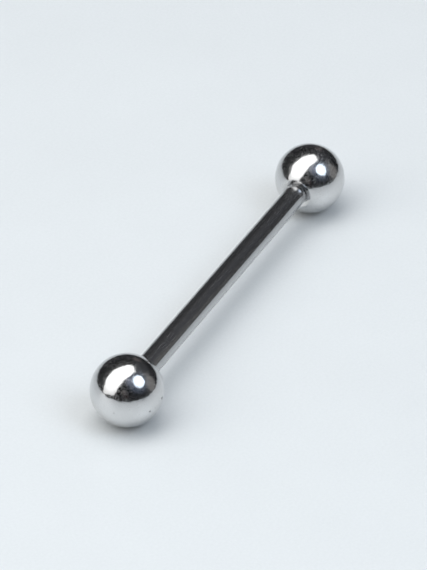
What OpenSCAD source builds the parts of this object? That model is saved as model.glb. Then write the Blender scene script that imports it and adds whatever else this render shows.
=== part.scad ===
// Tongue barbell: a straight bar with a threaded stub at each end and two screw-on balls.
// It lies on its balls: bar along X, up is +Z, origin on the floor below the bar's middle.
// All sizes are in millimetres.

/* [Bar] */
// Diameter of the bar
bar_d = 1.6; // [1.6:0.1:2.4]
// Length of the bar from shoulder to shoulder
bar_l = 24.5; // [12:0.5:40]
// Radius of the round at the bar's shoulder
shoulder_round = 0.35; // [0.2:0.05:0.6]
// How much that round takes off the bar's radius before the shoulder's flat face
shoulder_drop = 0.14; // [0.04:0.01:0.16]

/* [Thread] */
// Diameter over the crests of the thread
thread_d = 1.2; // [0.9:0.05:1.2]
// Rise of the thread in one turn
pitch = 0.25; // [0.2:0.01:0.3]
// Length of the threaded stub past the shoulder
stub_l = 2.2; // [1.4:0.1:2.6]
// Length of the plain neck between the shoulder and the thread
neck_l = 0.2; // [0.1:0.05:0.4]
// Bevel at the tip of the stub
tip_bevel = 0.12; // [0.05:0.01:0.2]

/* [Balls] */
// Diameter of each ball
ball_d = 5; // [4:0.25:8]
// How far a ball's dished seat shows all round the bar
seat_margin = 0.3; // [0.1:0.05:0.5]
// Slope of the dished seat, down towards the hole
seat_slope = 12; // [4:1:20]
// Clearance between the shoulder and a ball's seat
seat_gap = 0.02; // [0.01:0.01:0.05]
// Clearance between the thread's crests and the wall of a ball's hole
thread_gap = 0.02; // [0.01:0.01:0.04]
// Bevel at the mouth of a ball's hole
mouth_bevel = 0.02; // [0.01:0.01:0.04]
// Room left in a ball's hole past the stub's tip
tip_room = 0.3; // [0.1:0.05:0.6]
// Angle of the drill point at the bottom of the hole
drill_angle = 118; // [90:1:140]

/* [Hidden] */
$fn = 96;
steel = [0.77, 0.78, 0.79];

bar_r = bar_d / 2;
ball_r = ball_d / 2;
crest_r = thread_d / 2;
shoulder_r = bar_r - shoulder_drop;
shoulder_turn = acos(1 - shoulder_drop / shoulder_round); // how far the round turns
shoulder_steps = 8;
seat_r = bar_r + seat_margin;
rim_z = sqrt(pow(ball_r, 2) - pow(seat_r, 2)); // from a ball's centre to the rim of its seat
hole_r = crest_r + thread_gap;
hole_l = stub_l + tip_room;
drill_l = hole_r / tan(drill_angle / 2);
// From a ball's centre to the dished seat at radius r
function seat_z(r) = rim_z - (seat_r - r) * tan(seat_slope);
mouth_z = seat_z(hole_r);
ball_x = bar_l / 2 + seat_gap + seat_z(shoulder_r); // from the bar's middle to a ball's centre
overlap = 0.3; // what a cut or a joined end runs past the face it meets

// A 60 degree thread, with its crest flattened to an eighth of the pitch.
thread_sides = 24;
thread_depth = 0.61 * pitch;
flank = thread_depth * tan(30);
crest_w = pitch / 8;
root_r = crest_r - thread_depth;
lead = 0.02; // between the plain neck or tip and the first row of the thread
// One turn's rows: [height above the turn's start, share of the thread's depth]
rows = [[0, 0], [flank, 1], [flank + crest_w, 1], [2 * flank + crest_w, 0]];
turns = floor((stub_l - neck_l - tip_bevel - 2 * lead) / pitch) - 1;
thread_z0 = neck_l + lead;
thread_z1 = thread_z0 + (turns + 1) * pitch;
last_row = turns * len(rows);

// Share of the full depth at height z: the thread rises and runs out over one turn.
function run_out(z) = max(0, min(1, (z - thread_z0) / pitch, (thread_z1 - z) / pitch));
function around(r, z, i) = let (a = 360 * i / thread_sides) [r * cos(a), r * sin(a), z];
function flat_ring(r, z) = [for (i = [0 : thread_sides - 1]) around(r, z, i)];
function row_z(j, i) = thread_z0 + rows[j % len(rows)][0]
    + pitch * (floor(j / len(rows)) + i / thread_sides);
function thread_row(j) = [
    for (i = [0 : thread_sides - 1])
        let (z = row_z(j, i))
        around(root_r + thread_depth * rows[j % len(rows)][1] * run_out(z), z, i)
];

// The stub stands on z = 0, with its axis along Z. Its rows climb like the thread, so a row's
// last point meets the row one turn higher, and the two ends are closed to flat rings.
module stub() {
    n = thread_sides;
    turn = len(rows);
    low = 2 * n; // first point of the lowest thread row
    high = low + (last_row + 1) * n; // first point of the two rings at the tip
    points = concat(
        flat_ring(root_r, -overlap),
        flat_ring(root_r, neck_l),
        [for (j = [0 : last_row]) each thread_row(j)],
        flat_ring(root_r, stub_l - tip_bevel),
        flat_ring(root_r - tip_bevel, stub_l)
    );
    // Point i of thread row j
    function at(j, i) = low + j * n + i;
    // Two triangles between neighbouring points of a lower and an upper ring
    function band(a, b, c, d) = [[a, c, b], [a, d, c]];
    neck = [for (i = [0 : n - 1]) let (k = (i + 1) % n) each band(i, k, n + k, n + i)];
    start = [for (i = [0 : n - 2]) each band(n + i, n + i + 1, at(0, i + 1), at(0, i))];
    start_step = concat(
        band(2 * n - 1, n, at(0, 0), at(0, n - 1)),
        [for (j = [0 : turn - 1]) [at(0, n - 1), at(j + 1, 0), at(j, 0)]]
    );
    thread = [
        for (j = [0 : last_row - 1], i = [0 : n - 2])
            each band(at(j, i), at(j, i + 1), at(j + 1, i + 1), at(j + 1, i))
    ];
    thread_step = [
        for (j = [0 : last_row - turn - 1])
            each band(at(j, n - 1), at(j + turn, 0), at(j + turn + 1, 0), at(j + 1, n - 1))
    ];
    end_step = concat(
        [
            for (j = [last_row - turn : last_row - 1])
                [at(j, n - 1), at(j + 1, n - 1), at(last_row, 0)]
        ],
        band(at(last_row, n - 1), at(last_row, 0), high, high + n - 1)
    );
    end = [
        for (i = [0 : n - 2])
            each band(at(last_row, i), at(last_row, i + 1), high + i + 1, high + i)
    ];
    tip = [
        for (i = [0 : n - 1])
            let (k = (i + 1) % n)
            each band(high + i, high + k, high + n + k, high + n + i)
    ];
    caps = [[for (i = [0 : n - 1]) i], [for (i = [n - 1 : -1 : 0]) high + n + i]];
    polyhedron(
        points,
        concat(neck, start, start_step, thread, thread_step, end_step, end, tip, caps)
    );
}

// Turns local +Z outwards along the bar: side is 1 at the right end and -1 at the left end.
module outwards(side) {
    translate([0, 0, ball_r]) rotate([0, 90 * side, 0]) children();
}

// The upper shoulder's round, from the bar's side to the shoulder's flat face: [radius, height]
function shoulder() = [
    for (i = [0 : shoulder_steps])
        let (a = shoulder_turn * i / shoulder_steps)
        [bar_r - shoulder_round * (1 - cos(a)),
         bar_l / 2 - shoulder_round * (sin(shoulder_turn) - sin(a))]
];

module shaft() {
    upper = shoulder();
    rotate_extrude()
        polygon(concat(
            [[0, -bar_l / 2]],
            [for (i = [shoulder_steps : -1 : 0]) [upper[i][0], -upper[i][1]]],
            upper,
            [[0, bar_l / 2]]
        ));
}

module bar() {
    color(steel) {
        outwards(1) shaft();
        for (side = [-1, 1]) outwards(side) translate([0, 0, bar_l / 2]) stub();
    }
}

// A ball whose dished seat and tapped hole face local -Z
module ball() {
    mouth_r = hole_r + mouth_bevel;
    difference() {
        sphere(r = ball_r);
        // The dish goes on outside the ball at its own slope, so that it cuts nothing past its rim
        translate([0, 0, -seat_z(seat_r + overlap)])
            cylinder(r1 = seat_r + overlap, r2 = 0, h = (seat_r + overlap) * tan(seat_slope));
        translate([0, 0, -ball_d]) cylinder(r = seat_r + overlap, h = ball_d - seat_z(seat_r + overlap));
        translate([0, 0, -mouth_z - overlap]) cylinder(r = hole_r, h = hole_l + overlap);
        translate([0, 0, -mouth_z + hole_l]) cylinder(r1 = hole_r, r2 = 0, h = drill_l);
        translate([0, 0, -mouth_z - mouth_bevel])
            cylinder(r1 = mouth_r + mouth_bevel, r2 = hole_r, h = 2 * mouth_bevel);
    }
}

module left_ball() {
    color(steel) outwards(-1) translate([0, 0, ball_x]) ball();
}

module right_ball() {
    color(steel) outwards(1) translate([0, 0, ball_x]) ball();
}

bar();
left_ball();
right_ball();
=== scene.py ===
# Tongue barbell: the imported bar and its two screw-on balls, remade finely in polished steel
import math

import bmesh
import bpy
from mathutils import Matrix, Quaternion, Vector


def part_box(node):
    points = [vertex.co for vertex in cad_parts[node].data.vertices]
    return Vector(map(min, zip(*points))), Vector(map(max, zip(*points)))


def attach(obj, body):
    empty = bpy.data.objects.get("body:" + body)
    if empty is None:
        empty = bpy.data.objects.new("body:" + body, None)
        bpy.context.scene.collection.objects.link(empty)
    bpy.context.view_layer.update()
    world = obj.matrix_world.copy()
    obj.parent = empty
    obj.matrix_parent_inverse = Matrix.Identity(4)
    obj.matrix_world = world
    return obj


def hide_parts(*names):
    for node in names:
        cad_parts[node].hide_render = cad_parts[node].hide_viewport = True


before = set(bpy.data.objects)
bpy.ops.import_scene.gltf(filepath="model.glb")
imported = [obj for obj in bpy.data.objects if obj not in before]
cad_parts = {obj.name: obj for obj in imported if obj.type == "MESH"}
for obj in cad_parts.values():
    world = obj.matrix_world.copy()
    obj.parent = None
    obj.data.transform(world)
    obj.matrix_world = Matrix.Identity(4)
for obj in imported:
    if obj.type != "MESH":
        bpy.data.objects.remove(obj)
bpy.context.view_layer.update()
mm = 0.001

barRadius, ballRadius = 0.8 * mm, 2.5 * mm
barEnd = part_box("bar")[1].x  # the tip of the stub, from the bar's middle
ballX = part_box("right_ball")[1].x - ballRadius  # a ball's centre, from the bar's middle
axisHeight = ballRadius  # the barbell lies on its balls
print("barbell: tip at", round(barEnd / mm, 3), "mm and ball centre at", round(ballX / mm, 3), "mm")


# The camera looks from far off through a long lens
cameraView = {
    "aimMm": (-0.752, 0.253, 2.5),
    "distanceMm": 307.8,
    "turnDeg": -64.686,  # 0 looks along +Y, 90 looks along -X
    "heightDeg": 34.98,
    "rollDeg": 1.29,
    "lensMm": 281.56,
    "sensorMm": 36,
    "clip": (0.01, 20),  # metres
}


def placeCamera(view):
    turn, height = math.radians(view["turnDeg"]), math.radians(view["heightDeg"])
    level = math.cos(height)
    away = Vector((math.sin(turn) * level, -math.cos(turn) * level, math.sin(height)))
    data = bpy.data.cameras.new("camera")
    data.sensor_width = view["sensorMm"]
    data.lens = view["lensMm"]
    data.clip_start, data.clip_end = view["clip"]
    camera = bpy.data.objects.new("camera", data)
    bpy.context.scene.collection.objects.link(camera)
    aim = Vector(view["aimMm"]) * mm
    camera.location = aim + away * view["distanceMm"] * mm
    camera.rotation_mode = "QUATERNION"
    roll = Quaternion((0, 0, 1), math.radians(view["rollDeg"]))
    camera.rotation_quaternion = (-away).to_track_quat("-Z", "Y") @ roll
    bpy.context.scene.camera = camera


placeCamera(cameraView)
bpy.context.scene.view_settings.view_transform = "Standard"
bpy.context.scene.view_settings.look = "None"
print("barbell: camera placed")


# Adds a node with its settings, the values of its inputs and what is linked to them
def addNode(tree, kind, values=None, links=None, **settings):
    node = tree.nodes.new(kind)
    for name, value in settings.items():
        setattr(node, name, value)
    for socket, value in (values or {}).items():
        node.inputs[socket].default_value = value
    for socket, source in (links or {}).items():
        tree.links.new(source, node.inputs[socket])
    return node


# A Math node from numbers and sockets, which gives its result's socket
def calc(tree, operation, *terms, clamp=False):
    node = addNode(tree, "ShaderNodeMath", operation=operation, use_clamp=clamp)
    for place, term in enumerate(terms):
        if isinstance(term, (int, float)):
            node.inputs[place].default_value = term
        else:
            tree.links.new(term, node.inputs[place])
    return node.outputs[0]


# The same for vectors. A dot product and a distance give a number
def vectorCalc(tree, operation, *terms):
    node = addNode(tree, "ShaderNodeVectorMath", operation=operation)
    for place, term in enumerate(terms):
        if isinstance(term, bpy.types.NodeSocket):
            tree.links.new(term, node.inputs[place])
        else:
            node.inputs[place].default_value = term
    return node.outputs["Value" if operation in ("DOT_PRODUCT", "DISTANCE") else "Vector"]


# Blends from 0 to 1 while the value goes from one number to another
def fade(tree, value, start, end, kind="SMOOTHSTEP"):
    node = addNode(tree, "ShaderNodeMapRange", {"From Min": start, "From Max": end}, {"Value": value},
                   interpolation_type=kind)
    return node.outputs["Result"]


def splitPlace(tree, place):
    return addNode(tree, "ShaderNodeSeparateXYZ", links={0: place}).outputs


def newGroup(name, kind, inputs, outputs):
    tree = bpy.data.node_groups.new(name, kind)
    for label, (socketType, default) in inputs.items():
        socket = tree.interface.new_socket(name=label, in_out="INPUT", socket_type=socketType)
        if default is not None:
            socket.default_value = default
    for label, socketType in outputs.items():
        tree.interface.new_socket(name=label, in_out="OUTPUT", socket_type=socketType)
    return tree, tree.nodes.new("NodeGroupInput").outputs, tree.nodes.new("NodeGroupOutput").inputs


# Floor, lights and the dark room that the steel mirrors
studio = {
    "floorSizeMm": 1600,
    "floorColor": (0.670, 0.687, 0.683),
    "floorRoughness": 0.35,
    "floorSpecular": 0.42,
    "floorMottle": (90, 0.06),  # how fine its broad patches are, and how far they change its tone
    "floorGrain": (4500, 0.09),  # the same for its fine grain
    "floorGrainMm": 0.02,
    "floorGrainStrength": 0.4,
    "stripCentreMm": (-55, 71, 329),
    "stripLongAxis": (0.552, -0.259, 0.466),
    "stripFacing": (0.341, -0.590, -0.732),
    "stripSizeMm": (891, 288),
    "stripColor": (0.995, 1.0, 0.995),
    "stripRadiance": (1.16, 2.40, 1.96),  # at its low end, in its middle and at its high end
    "stripLowEnd": (0.0, 0.35),  # the share of its length over which it goes from the first to the second
    "stripHighEnd": (0.75, 1.0),  # and from the second to the third
    "stripSideShare": 0.74,  # how bright its long sides are beside its middle
    "stripSides": (0.08, 0.5),  # how far out it starts and ends to dim
    "lampAwayMm": 650,
    "lampTurnDeg": -92.7,
    "lampHeightDeg": 49.7,
    "lampLongAxis": (0.76, -0.52, -0.39),
    "lampAnglesDeg": (17.4, 18.4),  # half its width and half its height, seen from the barbell
    "lampColor": (0.76, 0.87, 1.0),
    "lampRadiance": (3.35, 1.95),  # in its middle and at its rim
    "lampRim": (0.15, 0.5),  # how far out it starts and ends to dim
    "ambientColor": (0.485, 0.510, 0.554),
    "ambientRise": (0.1, 1.47),  # its share near the floor and straight above
    "roomColor": (0.010, 0.010, 0.011),
    "roomMottleScale": 3.5,
    "roomMottle": (0.65, 1.35),  # the darkest and the lightest share of the room's colour
    "backdropColor": (0.80, 0.83, 0.86),
}

# Dim things round the room that show in the steel: turn from +X, height above the floor, half-width
# and softness of the edge, all in degrees, and the colour that each adds
roomPatches = {
    "sideCard": (-60, 18, 17, 6.5, (0.205, 0.20, 0.193)),
    "sideCardTop": (-45, 35, 8, 6, (0.10, 0.098, 0.096)),
    "lampHalo": (-98, 50, 26, 15, (0.05, 0.065, 0.10)),
    "lampHaloLeft": (-137, 62, 9, 7, (0.14, 0.15, 0.19)),
    "topRight": (-20, 45, 18, 14, (0.035, 0.036, 0.04)),
    "farGlint": (10, 24, 5, 4, (0.15, 0.13, 0.125)),
    "nearGlint": (-165, 28, 6, 4, (0.12, 0.11, 0.105)),
    "nearGlintLow": (-156, 17, 3, 3, (0.07, 0.05, 0.045)),
    "farEdge": (35, -4, 30, 8, (0.02, 0.02, 0.022)),
}


# An area light whose glow may change over its face: glow(tree, u, v) gives the socket of its radiance
def areaLight(name, shape, sizes, color, glow, place):
    data = bpy.data.lights.new(name, "AREA")
    data.shape = shape
    data.size, data.size_y = sizes
    area = sizes[0] * sizes[1] * (1 if shape == "RECTANGLE" else math.pi / 4)
    data.energy = math.pi * area  # a radiance of 1
    data.use_nodes = True
    tree = data.node_tree
    onFace = splitPlace(tree, addNode(tree, "ShaderNodeNewGeometry").outputs["Parametric"])
    emission = tree.nodes["Emission"]
    emission.inputs["Color"].default_value = (*color, 1)
    tree.links.new(glow(tree, onFace["X"], onFace["Y"]), emission.inputs["Strength"])
    light = bpy.data.objects.new(name, data)
    bpy.context.scene.collection.objects.link(light)
    light.matrix_world = place


# Where a light stands that faces one way, with its width along another
def facingFrame(facing, longAxis, centre):
    back = -Vector(facing).normalized()
    side = Vector(longAxis)
    side = (side - back * side.dot(back)).normalized()
    turned = Matrix((side, back.cross(side), back)).transposed().to_4x4()
    return Matrix.Translation(centre) @ turned


def stripGlow(tree, u, v):
    low, middle, high = studio["stripRadiance"]
    rise = fade(tree, u, *studio["stripLowEnd"])
    fall = fade(tree, u, *studio["stripHighEnd"])
    aside = calc(tree, "ABSOLUTE", calc(tree, "SUBTRACT", v, 0.5))
    dimmed = fade(tree, aside, *studio["stripSides"])
    across = calc(tree, "MULTIPLY_ADD", dimmed, studio["stripSideShare"] - 1, 1)
    glow = calc(tree, "MULTIPLY_ADD", rise, calc(tree, "MULTIPLY_ADD", across, middle, -low), low)
    return calc(tree, "MULTIPLY_ADD", fall, high - middle, glow)


def lampGlow(tree, u, v):
    middle, rim = studio["lampRadiance"]
    across, up = calc(tree, "SUBTRACT", u, 0.5), calc(tree, "SUBTRACT", v, 0.5)
    squares = calc(tree, "MULTIPLY_ADD", across, across, calc(tree, "MULTIPLY", up, up))
    away = calc(tree, "SQRT", squares)
    return calc(tree, "MULTIPLY_ADD", fade(tree, away, *studio["lampRim"]), rim - middle, middle)


def compassWay(turnDeg, heightDeg):
    turn, height = math.radians(turnDeg), math.radians(heightDeg)
    return Vector((math.cos(turn) * math.cos(height), math.sin(turn) * math.cos(height), math.sin(height)))


def makeLights():
    stripCentre = Vector(studio["stripCentreMm"]) * mm
    stripPlace = facingFrame(studio["stripFacing"], studio["stripLongAxis"], stripCentre)
    stripSizes = [size * mm for size in studio["stripSizeMm"]]
    areaLight("stripLight", "RECTANGLE", stripSizes, studio["stripColor"], stripGlow, stripPlace)
    lampWay = compassWay(studio["lampTurnDeg"], studio["lampHeightDeg"])
    lampAway = studio["lampAwayMm"] * mm
    lampSizes = [2 * lampAway * math.tan(math.radians(angle)) for angle in studio["lampAnglesDeg"]]
    lampPlace = facingFrame(-lampWay, studio["lampLongAxis"], lampWay * lampAway)
    areaLight("roundLamp", "ELLIPSE", lampSizes, studio["lampColor"], lampGlow, lampPlace)


# Mirrors see a dark room with dim things in it, the camera sees a pale backdrop, and the rest gets
# soft fill light from above
def makeRoom():
    world = bpy.data.worlds.new("room")
    world.use_nodes = True
    bpy.context.scene.world = world
    tree = world.node_tree
    way = addNode(tree, "ShaderNodeTexCoord").outputs["Generated"]
    mottle = addNode(tree, "ShaderNodeTexNoise",
                     {"Scale": studio["roomMottleScale"], "Detail": 3, "Roughness": 0.6}, {"Vector": way})
    dim = fade(tree, mottle.outputs["Fac"], 0.3, 0.7, "LINEAR")
    darkest, lightest = studio["roomMottle"]
    share = calc(tree, "MULTIPLY_ADD", dim, lightest - darkest, darkest)
    room = vectorCalc(tree, "MULTIPLY", studio["roomColor"], share)
    for turnDeg, heightDeg, halfDeg, softDeg, color in roomPatches.values():
        near = vectorCalc(tree, "DOT_PRODUCT", way, compassWay(turnDeg, heightDeg))
        outer = math.cos(math.radians(halfDeg + softDeg))
        inner = math.cos(math.radians(max(0, halfDeg - softDeg)))
        room = vectorCalc(tree, "MULTIPLY_ADD", fade(tree, near, outer, inner), color, room)
    rays = addNode(tree, "ShaderNodeLightPath").outputs
    low, high = studio["ambientRise"]
    rise = calc(tree, "MULTIPLY_ADD", splitPlace(tree, way)["Z"], high - low, low)
    ambient = vectorCalc(tree, "MULTIPLY", studio["ambientColor"], rise)
    seen = addNode(tree, "ShaderNodeMix",
                   links={"Factor": rays["Is Glossy Ray"], "A": ambient, "B": room}, data_type="RGBA")
    seen = addNode(tree, "ShaderNodeMix", {"B": (*studio["backdropColor"], 1)},
                   {"Factor": rays["Is Camera Ray"], "A": seen.outputs["Result"]}, data_type="RGBA")
    tree.links.new(seen.outputs["Result"], tree.nodes["Background"].inputs["Color"])


def makeFloor():
    half = studio["floorSizeMm"] * mm / 2
    corners = [(-half, -half, 0), (half, -half, 0), (half, half, 0), (-half, half, 0)]
    mesh = bpy.data.meshes.new("floor")
    mesh.from_pydata(corners, [], [(0, 1, 2, 3)])
    floor = bpy.data.objects.new("floor", mesh)
    bpy.context.scene.collection.objects.link(floor)
    material = bpy.data.materials.new("paleFloor")
    material.use_nodes = True
    tree = material.node_tree
    surface = tree.nodes["Principled BSDF"]
    place = addNode(tree, "ShaderNodeTexCoord").outputs["Object"]
    tone = 1
    for (scale, change), detail, roughness in ((studio["floorMottle"], 4, 0.6), (studio["floorGrain"], 2, 0.7)):
        pattern = addNode(tree, "ShaderNodeTexNoise",
                          {"Scale": scale, "Detail": detail, "Roughness": roughness}, {"Vector": place})
        tone = calc(tree, "MULTIPLY_ADD", calc(tree, "SUBTRACT", pattern.outputs["Fac"], 0.5), change, tone)
    shade = vectorCalc(tree, "MULTIPLY", studio["floorColor"], tone)
    tree.links.new(shade, surface.inputs["Base Color"])
    bump = addNode(tree, "ShaderNodeBump",
                   {"Distance": studio["floorGrainMm"] * mm, "Strength": studio["floorGrainStrength"]},
                   {"Height": pattern.outputs["Fac"]})  # the last pattern is the grain
    tree.links.new(bump.outputs["Normal"], surface.inputs["Normal"])
    surface.inputs["Roughness"].default_value = studio["floorRoughness"]
    surface.inputs["Specular IOR Level"].default_value = studio["floorSpecular"]
    mesh.materials.append(material)


makeLights()
makeRoom()
makeFloor()
print("barbell: floor, lights and room made")


# A turned mesh along X. Each strip is a row of (place along X, radius), and a radius of 0 closes it
def turnedMesh(name, strips, sides):
    verts, faces = [], []
    for strip in strips:
        rings = []
        for along, radius in strip:
            count = 1 if radius == 0 else sides
            rings.append(range(len(verts), len(verts) + count))
            for i in range(count):
                angle = 2 * math.pi * i / sides
                verts.append((along, radius * math.cos(angle), radius * math.sin(angle)))
        for low, high in zip(rings, rings[1:]):
            for i in range(sides):
                k = (i + 1) % sides
                if len(low) == 1:
                    faces.append((low[0], high[k], high[i]))
                elif len(high) == 1:
                    faces.append((low[i], low[k], high[0]))
                else:
                    faces.append((low[i], low[k], high[k], high[i]))
    mesh = bpy.data.meshes.new(name)
    mesh.from_pydata(verts, [], faces)
    return mesh


# Rounds the corners of a turned outline, and keeps a ring just past each so that flats stay flat.
# A point with a third number has its own cut, and a bend below sharpDeg is no corner
def roundCorners(points, usualCut, steps=4, sharpDeg=8, ringAway=1.6):
    rounded = [points[0]]
    for before, corner, after in zip(points, points[1:], points[2:]):
        b, c, a = Vector(before[:2]), Vector(corner[:2]), Vector(after[:2])
        if (c - b).angle(a - c) < math.radians(sharpDeg):
            rounded.append(corner)
            continue
        cut = corner[2] if len(corner) > 2 else usualCut
        inWay, outWay = (b - c).normalized(), (a - c).normalized()
        start, end = c + inWay * cut, c + outWay * cut
        rounded.append(tuple(c + inWay * cut * ringAway))
        for step in range(steps + 1):
            t = step / steps
            rounded.append(tuple(start * (1 - t) ** 2 + c * 2 * t * (1 - t) + end * t ** 2))
        rounded.append(tuple(c + outWay * cut * ringAway))
    rounded.append(points[-1])
    return rounded


# One skin of a helical thread along +X, as a tree: its rows climb with the helix and close on flat rings.
# The flats are shares of the pitch
def makeThreadSkin():
    sizes = {"Start": 0.01222, "Pitch": 0.00025, "Core Radius": 0.0004475, "Depth": 0.0001525,
             "Root Flat": 0.171, "Crest Flat": 0.125}
    inputs = {name: ("NodeSocketFloat", value) for name, value in sizes.items()}
    inputs.update({"Turns": ("NodeSocketInt", 7), "Sides": ("NodeSocketInt", 144),
                   "Rows A Turn": ("NodeSocketInt", 24)})
    tree, given, result = newGroup("threadSkin", "GeometryNodeTree", inputs, {"Mesh": "NodeSocketGeometry"})
    start, pitch = given["Start"], given["Pitch"]
    turnsAll = calc(tree, "ADD", given["Turns"], 1)
    rows = calc(tree, "ADD", calc(tree, "MULTIPLY", turnsAll, given["Rows A Turn"]), 1)
    columns = calc(tree, "ADD", given["Sides"], 1)
    grid = addNode(tree, "GeometryNodeMeshGrid", {"Size X": 1, "Size Y": 1},
                   {"Vertices X": columns, "Vertices Y": rows})
    spot = splitPlace(tree, addNode(tree, "GeometryNodeInputPosition").outputs[0])
    around = calc(tree, "ADD", spot["X"], 0.5)  # 0 to 1 round the thread
    climbed = calc(tree, "MULTIPLY", calc(tree, "ADD", spot["Y"], 0.5), turnsAll)  # turns along it
    end = calc(tree, "MULTIPLY_ADD", given["Turns"], pitch, start)
    rise = calc(tree, "MULTIPLY", calc(tree, "SUBTRACT", calc(tree, "ADD", around, climbed), 1), pitch)
    along = calc(tree, "MAXIMUM", calc(tree, "ADD", rise, start), start)
    along = calc(tree, "MINIMUM", along, end)
    wave = calc(tree, "MULTIPLY", calc(tree, "PINGPONG", climbed, 0.5), 2)
    share = addNode(tree, "ShaderNodeMapRange",
                    links={"Value": wave, "From Min": given["Root Flat"],
                           "From Max": calc(tree, "SUBTRACT", 1, given["Crest Flat"])})
    fromStart = calc(tree, "DIVIDE", calc(tree, "SUBTRACT", along, start), pitch)
    toEnd = calc(tree, "DIVIDE", calc(tree, "SUBTRACT", end, along), pitch)
    runOut = calc(tree, "MINIMUM", calc(tree, "MINIMUM", fromStart, toEnd), 1, clamp=True)
    height = calc(tree, "MULTIPLY", calc(tree, "MULTIPLY", share.outputs["Result"], runOut), given["Depth"])
    radius = calc(tree, "ADD", height, given["Core Radius"])
    angle = calc(tree, "MULTIPLY", around, 2 * math.pi)
    place = addNode(tree, "ShaderNodeCombineXYZ",
                    links={"X": along, "Y": calc(tree, "MULTIPLY", radius, calc(tree, "COSINE", angle)),
                           "Z": calc(tree, "MULTIPLY", radius, calc(tree, "SINE", angle))})
    moved = addNode(tree, "GeometryNodeSetPosition",
                    links={"Geometry": grid.outputs["Mesh"], "Position": place.outputs[0]})
    tree.links.new(moved.outputs[0], result["Mesh"])
    return tree


# The tree that closes a turned piece with its thread, at one end or at both
def makeThreadedPiece():
    inputs = {"Geometry": ("NodeSocketGeometry", None)}
    skin = makeThreadSkin()
    sizes = [s for s in skin.interface.items_tree if s.in_out == "INPUT"]
    inputs.update({s.name: (s.socket_type, s.default_value) for s in sizes})
    inputs.update({"Both Ends": ("NodeSocketBool", False), "Weld": ("NodeSocketFloat", 1e-7),
                   "Steel": ("NodeSocketMaterial", None)})
    outputs = {"Geometry": "NodeSocketGeometry"}
    tree, given, result = newGroup("threadedPiece", "GeometryNodeTree", inputs, outputs)
    thread = addNode(tree, "GeometryNodeGroup", node_tree=skin)
    for size in sizes:
        tree.links.new(given[size.name], thread.inputs[size.name])
    turned = addNode(tree, "GeometryNodeTransform", {"Rotation": (0, 0, math.pi)},
                     {"Geometry": thread.outputs[0]})
    second = addNode(tree, "GeometryNodeSwitch",
                     links={"Switch": given["Both Ends"], "True": turned.outputs[0]}, input_type="GEOMETRY")
    joined = addNode(tree, "GeometryNodeJoinGeometry")
    for source in (second.outputs[0], thread.outputs[0], given["Geometry"]):
        tree.links.new(source, joined.inputs[0])
    welded = addNode(tree, "GeometryNodeMergeByDistance",
                     links={"Geometry": joined.outputs[0], "Distance": given["Weld"]})
    smooth = addNode(tree, "GeometryNodeSetShadeSmooth", links={"Geometry": welded.outputs[0]})
    real = addNode(tree, "GeometryNodeRealizeInstances", links={"Geometry": smooth.outputs[0]})
    steel = addNode(tree, "GeometryNodeSetMaterial",
                    links={"Geometry": real.outputs[0], "Material": given["Steel"]})
    tree.links.new(steel.outputs[0], result["Geometry"])
    return tree


threadedPiece = makeThreadedPiece()


# Runs the tree on a turned mesh, and gives a plain piece in its place along the bar
def finishPiece(name, mesh, material, threadSizes, place):
    piece = bpy.data.objects.new(name, mesh)
    bpy.context.scene.collection.objects.link(piece)
    modifier = piece.modifiers.new("thread", "NODES")
    modifier.node_group = threadedPiece
    keys = {s.name: s.identifier for s in threadedPiece.interface.items_tree if s.in_out == "INPUT"}
    for label, value in {**threadSizes, "Steel": material}.items():
        modifier[keys[label]] = value
    shaped = bpy.data.meshes.new_from_object(piece.evaluated_get(bpy.context.evaluated_depsgraph_get()))
    piece.modifiers.remove(modifier)
    shaped.name = name
    shaped.transform(place)
    work = bmesh.new()
    work.from_mesh(shaped)
    bmesh.ops.recalc_face_normals(work, faces=work.faces)
    openEdges = sum(1 for edge in work.edges if len(edge.link_faces) != 2)
    work.to_mesh(shaped)
    volume = round(work.calc_volume(signed=True) / mm ** 3, 2)
    work.free()
    piece.data = shaped
    print("barbell:", name, len(shaped.polygons), "faces,", openEdges, "open edges,", volume, "mm3")
    return piece


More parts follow.
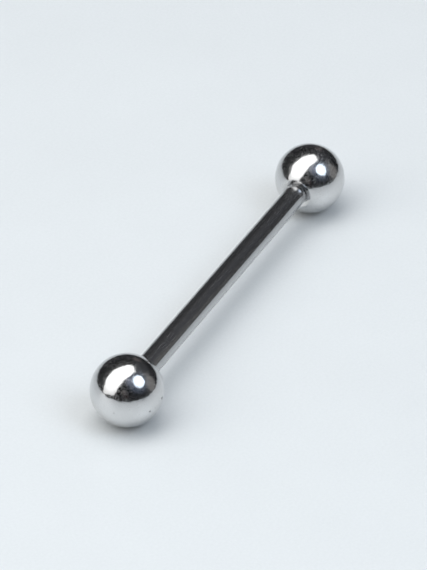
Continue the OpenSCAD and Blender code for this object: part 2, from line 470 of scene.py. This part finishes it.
# Polished steel is mostly mirror. Fine scratches in three directions, the given turn apart, haze a share
# of it, and polishing leaves faint waves, ripples and lines
def makeFinish():
    inputs = {"Place": ("NodeSocketVector", None), "Stretch": ("NodeSocketVector", (1, 1, 1)),
              "Scratch Scale": ("NodeSocketFloat", 60000.0), "Scratch Turn": ("NodeSocketFloat", 1.0),
              "Scratch Level": ("NodeSocketFloat", 0.6), "Mirror Roughness": ("NodeSocketFloat", 0.05),
              "Haze Roughness": ("NodeSocketFloat", 0.35), "Wave Scale": ("NodeSocketFloat", 2200.0),
              "Ripple Scale": ("NodeSocketFloat", 4500.0), "Ripple Depth": ("NodeSocketFloat", 0.5),
              "Line Scale": ("NodeSocketFloat", 9000.0), "Line Depth": ("NodeSocketFloat", 0.2),
              "Line Tone": ("NodeSocketFloat", 0.06)}
    outputs = {"Roughness": "NodeSocketFloat", "Height": "NodeSocketFloat", "Tone": "NodeSocketFloat"}
    scratchAxis, scratchStretch, scratchEdge = (0.3, 0.55, 0.78), (0.1, 1, 1), 6
    tree, given, result = newGroup("polishedFinish", "ShaderNodeTree", inputs, outputs)
    stretched = vectorCalc(tree, "MULTIPLY", given["Place"], given["Stretch"])
    hazy = 0
    for way in (-1, 0, 1):
        turned = addNode(tree, "ShaderNodeVectorRotate", {"Axis": scratchAxis},
                         {"Vector": stretched, "Angle": calc(tree, "MULTIPLY", given["Scratch Turn"], way)})
        drawn = vectorCalc(tree, "MULTIPLY", turned.outputs[0], scratchStretch)
        streak = addNode(tree, "ShaderNodeTexNoise", {"Detail": 0, "W": 3.7 * way + 9},  # unlike in each way
                         {"Vector": drawn, "Scale": given["Scratch Scale"]}, noise_dimensions="4D")
        over = calc(tree, "SUBTRACT", streak.outputs["Fac"], given["Scratch Level"])
        hazy = calc(tree, "MAXIMUM", hazy, calc(tree, "MULTIPLY", over, scratchEdge, clamp=True))
    span = calc(tree, "SUBTRACT", given["Haze Roughness"], given["Mirror Roughness"])
    roughness = calc(tree, "MULTIPLY_ADD", hazy, span, given["Mirror Roughness"])
    waves, ripples, lines = [
        addNode(tree, "ShaderNodeTexNoise", {"Detail": detail, "Roughness": 0.6},
                {"Vector": stretched, "Scale": given[scale]}).outputs["Fac"]
        for detail, scale in ((1, "Wave Scale"), (1, "Ripple Scale"), (3, "Line Scale"))]
    height = calc(tree, "MULTIPLY_ADD", ripples, given["Ripple Depth"], waves)
    height = calc(tree, "MULTIPLY_ADD", lines, given["Line Depth"], height)
    tone = calc(tree, "MULTIPLY_ADD", calc(tree, "SUBTRACT", lines, 0.5), given["Line Tone"], 1)
    for label, socket in {"Roughness": roughness, "Height": height, "Tone": tone}.items():
        tree.links.new(socket, result[label])
    return tree


# A few tiny dark pits, one in each of the rare cells that hold one
def makePits():
    inputs = {"Place": ("NodeSocketVector", None), "Cells": ("NodeSocketFloat", 1400.0),
              "Share": ("NodeSocketFloat", 0.05), "Width": ("NodeSocketFloat", 0.05)}
    pitEdge, pitSoftness = 3, 0.1
    tree, given, result = newGroup("tinyPits", "ShaderNodeTree", inputs, {"Pit": "NodeSocketFloat"})
    cells = addNode(tree, "ShaderNodeTexVoronoi", links={"Vector": given["Place"], "Scale": given["Cells"]})
    draw = addNode(tree, "ShaderNodeSeparateColor", links={0: cells.outputs["Color"]}).outputs[0]
    rare = calc(tree, "LESS_THAN", draw, given["Share"])
    outward = calc(tree, "DIVIDE", cells.outputs["Distance"], given["Width"])
    inward = calc(tree, "SUBTRACT", 1, outward, clamp=True)
    pit = calc(tree, "SMOOTH_MIN", calc(tree, "MULTIPLY", inward, pitEdge), 1, pitSoftness)
    tree.links.new(calc(tree, "MULTIPLY", pit, rare), result["Pit"])
    return tree


polishedFinish, tinyPits = makeFinish(), makePits()


# Bare machined steel with fine turning lines round the bar's axis, on the stubs or inside a ball's hole.
# Its places are in metres from the bar's middle
def makeMachined():
    inputs = {"Place": ("NodeSocketVector", None), "Stub": ("NodeSocketFloat", 1.0),
              "Shoulder": ("NodeSocketFloat", 0.01226), "Hole Radius": ("NodeSocketFloat", 0.00074),
              "Hole Start": ("NodeSocketFloat", 0.0123), "Hole End": ("NodeSocketFloat", 0.0156),
              "Axis Height": ("NodeSocketFloat", 0.0025), "Turning Scale": ("NodeSocketFloat", 45000.0)}
    outputs = {"Bare": "NodeSocketFloat", "Turning": "NodeSocketFloat"}
    tree, given, result = newGroup("machinedSteel", "ShaderNodeTree", inputs, outputs)
    spot = splitPlace(tree, given["Place"])
    along = calc(tree, "ABSOLUTE", spot["X"])
    rise = calc(tree, "SUBTRACT", spot["Z"], given["Axis Height"])
    squares = calc(tree, "MULTIPLY_ADD", spot["Y"], spot["Y"], calc(tree, "MULTIPLY", rise, rise))
    out = calc(tree, "SQRT", squares)
    onStub = calc(tree, "GREATER_THAN", along, given["Shoulder"])
    inHole = calc(tree, "MULTIPLY", calc(tree, "LESS_THAN", out, given["Hole Radius"]),
                  calc(tree, "GREATER_THAN", along, given["Hole Start"]))
    inHole = calc(tree, "MULTIPLY", inHole, calc(tree, "LESS_THAN", along, given["Hole End"]))
    bare = addNode(tree, "ShaderNodeMix", links={"Factor": given["Stub"], "A": inHole, "B": onStub})
    lathed = addNode(tree, "ShaderNodeCombineXYZ", links={"X": along, "Y": out})
    turning = addNode(tree, "ShaderNodeTexNoise", {"Detail": 2},
                      {"Vector": lathed.outputs[0], "Scale": given["Turning Scale"]})
    tree.links.new(bare.outputs["Result"], result["Bare"])
    tree.links.new(turning.outputs["Fac"], result["Turning"])
    return tree


machinedSteel = makeMachined()

# What a pit and bare machining do to the steel's surface
steelMarks = {
    "pitDarkness": 0.75,
    "pitRoughness": 0.4,
    "pitDepth": 0.6,  # in waves
    "pitCore": 0.4,  # the share of a single pit's radius that is at full depth
    "bareRoughness": (0.2, 0.4),  # beside a turning line and on it
    "turningDepth": 0.3,  # in waves
}


# Steel from the shared finish, pits and machining. marks are single pits at (x, y, z, radius) in millimetres
def makeSteel(name, look, marks=()):
    material = bpy.data.materials.new(name)
    material.use_nodes = True
    tree = material.node_tree
    surface = tree.nodes["Principled BSDF"]
    place = addNode(tree, "ShaderNodeTexCoord").outputs["Object"]
    finish = addNode(tree, "ShaderNodeGroup", node_tree=polishedFinish)
    pits = addNode(tree, "ShaderNodeGroup", node_tree=tinyPits)
    machined = addNode(tree, "ShaderNodeGroup", node_tree=machinedSteel)
    for group, values in ((finish, look["finish"]), (pits, look["pits"]), (machined, look["machined"])):
        tree.links.new(place, group.inputs["Place"])
        for label, value in values.items():
            group.inputs[label].default_value = value
    pit = pits.outputs["Pit"]
    for x, y, z, radius in marks:
        away = vectorCalc(tree, "DISTANCE", place, (x * mm, y * mm, z * mm))
        mark = fade(tree, away, radius * mm, radius * steelMarks["pitCore"] * mm)
        pit = calc(tree, "MAXIMUM", pit, mark)
    bare, turning = machined.outputs["Bare"], machined.outputs["Turning"]
    dark = calc(tree, "MULTIPLY_ADD", pit, -steelMarks["pitDarkness"], 1)
    shade = calc(tree, "MULTIPLY", dark, finish.outputs["Tone"])
    tree.links.new(vectorCalc(tree, "MULTIPLY", look["color"], shade), surface.inputs["Base Color"])
    surface.inputs["Metallic"].default_value = 1
    surface.inputs["Coat Weight"].default_value = look["hazeWeight"]  # a soft even haze over the mirror
    surface.inputs["Coat IOR"].default_value = look["hazeIor"]
    surface.inputs["Coat Roughness"].default_value = look["hazeRoughness"]
    polished = calc(tree, "MULTIPLY_ADD", pit, steelMarks["pitRoughness"], finish.outputs["Roughness"])
    beside, onLine = steelMarks["bareRoughness"]
    bareRoughness = calc(tree, "MULTIPLY_ADD", turning, onLine - beside, beside)
    roughness = addNode(tree, "ShaderNodeMix", links={"Factor": bare, "A": polished, "B": bareRoughness})
    tree.links.new(roughness.outputs["Result"], surface.inputs["Roughness"])
    height = calc(tree, "MULTIPLY_ADD", pit, -steelMarks["pitDepth"], finish.outputs["Height"])
    lathed = calc(tree, "MULTIPLY", bare, turning)
    height = calc(tree, "MULTIPLY_ADD", lathed, steelMarks["turningDepth"], height)
    bump = addNode(tree, "ShaderNodeBump", {"Distance": look["waveMm"] * mm, "Strength": 1.0},
                   {"Height": height})
    tree.links.new(bump.outputs["Normal"], surface.inputs["Normal"])
    return material


bar = {
    "shoulderRoundMm": 0.35,
    "shoulderSteps": 10,
    "shoulderFaceMm": 0.66,
    "cornerMm": 0.012,
    "threadMm": 1.2,
    "threadDepthShare": 0.61,  # of the pitch
    "pitchMm": 0.25,
    "turns": 7,
    "neckMm": 0.2,
    "leadMm": 0.02,
    "stubMm": 2.2,
    "tipBevelMm": 0.12,
    "sides": 144,
    "rowsATurn": 24,
    "color": (0.435, 0.435, 0.44),
    "waveMm": 0.008,
    "hazeWeight": 1.0,
    "hazeIor": 1.75,
    "hazeRoughness": 0.45,
    "finish": {"Stretch": (0.1, 1, 1), "Scratch Scale": 120000.0, "Scratch Turn": 0.0, "Scratch Level": 0.68,
               "Mirror Roughness": 0.12, "Haze Roughness": 0.35, "Wave Scale": 1500.0, "Ripple Scale": 6000.0,
               "Ripple Depth": 0.06, "Line Scale": 40000.0, "Line Depth": 0.04},
    "pits": {"Cells": 1500.0, "Share": 0.015, "Width": 0.05},
    "machined": {"Stub": 1.0},
}


def makeBar():
    half = barEnd - bar["stubMm"] * mm  # from the middle to a shoulder
    turnR, face = bar["shoulderRoundMm"] * mm, bar["shoulderFaceMm"] * mm
    tilt = math.acos(1 - (barRadius - face) / turnR)  # how far the shoulder turns before its flat face
    tilts = [tilt * i / bar["shoulderSteps"] for i in range(bar["shoulderSteps"] + 1)]
    shoulder = [(half - turnR * (math.sin(tilt) - math.sin(t)), barRadius - turnR * (1 - math.cos(t)))
                for t in tilts]
    depth = bar["threadDepthShare"] * bar["pitchMm"] * mm
    core = bar["threadMm"] * mm / 2 - depth
    start = half + (bar["neckMm"] + bar["leadMm"]) * mm
    end = start + bar["turns"] * bar["pitchMm"] * mm
    bevel = bar["tipBevelMm"] * mm
    rightHalf = [(0, barRadius)] + shoulder + [(half, core), (start, core)]
    rightTip = [(end, core), (barEnd - bevel, core), (barEnd, core - bevel), (barEnd, 0)]
    right = roundCorners(rightHalf, bar["cornerMm"] * mm)[1:]
    tip = roundCorners(rightTip, bar["cornerMm"] * mm)
    left = [(-x, r) for x, r in reversed(right)]
    strips = [[(-x, r) for x, r in reversed(tip)], left + right, tip]
    sizes = {"Start": start, "Pitch": bar["pitchMm"] * mm, "Core Radius": core, "Depth": depth,
             "Turns": bar["turns"], "Sides": bar["sides"], "Rows A Turn": bar["rowsATurn"], "Both Ends": True}
    steel = makeSteel("barSteel", bar)
    mesh = turnedMesh("turnedBar", strips, bar["sides"])
    piece = finishPiece("polished_bar", mesh, steel, sizes, Matrix.Translation((0, 0, axisHeight)))
    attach(piece, "bar")
    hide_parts("bar")


makeBar()


ball = {
    "seatRadiusMm": 1.10,
    "seatSlopeDeg": 12,  # the seat is a shallow dish, down to the hole
    "seatEdgeMm": 0.03,
    "seatClear": 2.2,  # how many times that edge the round part's first ring stands past the seat
    "holeRadiusMm": 0.62,
    "holeMm": 2.5,
    "mouthBevelMm": 0.02,
    "drillDeg": 118,
    "tapDepthMm": 0.10,
    "tapTurns": 8,
    "rowsATurn": 12,
    "cornerMm": 0.008,
    "sides": 192,
    "ringStepDeg": 1.4,
    "color": (0.655, 0.655, 0.655),
    "waveMm": 0.010,
    "hazeWeight": 0.0,  # the balls have no even haze, only what their scratches give
    "hazeIor": 1.5,
    "hazeRoughness": 0.4,
    "finish": {"Scratch Scale": 36000.0, "Mirror Roughness": 0.05, "Haze Roughness": 0.45,
               "Wave Scale": 2000.0, "Ripple Scale": 10000.0, "Ripple Depth": 0.36,
               "Line Scale": 14000.0, "Line Depth": 0.05},
    "scratchLevels": {"left": 0.611, "right": 0.598},
    "pits": {"Cells": 1400.0, "Share": 0.03, "Width": 0.045},
    "machined": {"Stub": 0.0},
    "marks": {
        "left": ((-15.471, -2.248, 2.191, 0.09), (-14.18, -2.488, 2.529, 0.15),
                 (-15.025, -2.412, 2.239, 0.05), (-16.898, -0.287, 2.318, 0.055),
                 (-16.279, -1.043, 1.191, 0.05)),
        "right": (),
    },
}


# The ball stands at the origin with its mouth facing -X, and is then put at its end of the bar
def makeBall(name, body, side):
    seatR, holeR, bevel = ball["seatRadiusMm"] * mm, ball["holeRadiusMm"] * mm, ball["mouthBevelMm"] * mm
    rim = -math.sqrt(ballRadius ** 2 - seatR ** 2)
    slope = math.tan(math.radians(ball["seatSlopeDeg"]))
    mouth = rim + (seatR - holeR) * slope
    bottom = mouth + ball["holeMm"] * mm
    point = bottom + holeR / math.tan(math.radians(ball["drillDeg"] / 2))
    pitch = bar["pitchMm"] * mm
    tapStart = mouth + 2 * bevel
    tapEnd = tapStart + ball["tapTurns"] * pitch
    inside = [(point, 0), (bottom, holeR), (tapEnd, holeR)]
    first = math.asin(seatR / ballRadius) + ball["seatClear"] * ball["seatEdgeMm"] * mm / ballRadius
    count = round((math.pi - first) / math.radians(ball["ringStepDeg"]))
    angles = [first + (math.pi - first) * i / count for i in range(count)]
    outside = [(tapStart, holeR), (mouth + bevel, holeR), (mouth - bevel * slope, holeR + bevel)]
    outside += [(rim, seatR, ball["seatEdgeMm"] * mm)]
    outside += [(-ballRadius * math.cos(a), ballRadius * math.sin(a)) for a in angles] + [(ballRadius, 0)]
    strips = [roundCorners(inside, ball["cornerMm"] * mm), roundCorners(outside, ball["cornerMm"] * mm)]
    sizes = {"Start": tapStart, "Pitch": pitch, "Core Radius": holeR, "Depth": ball["tapDepthMm"] * mm,
             "Turns": ball["tapTurns"], "Sides": ball["sides"], "Rows A Turn": ball["rowsATurn"]}
    mesh = turnedMesh("turnedBall", strips, ball["sides"])
    hand, turn = ("right", 0) if side > 0 else ("left", math.pi)
    place = Matrix.Translation((side * ballX, 0, axisHeight)) @ Matrix.Rotation(turn, 4, "Z")
    look = {**ball, "finish": {**ball["finish"], "Scratch Level": ball["scratchLevels"][hand]}}
    steel = makeSteel(name + "Steel", look, ball["marks"][hand])
    piece = finishPiece(name, mesh, steel, sizes, place)
    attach(piece, body)
    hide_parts(body)


makeBall("left_screw_ball", "left_ball", -1)
makeBall("right_screw_ball", "right_ball", 1)
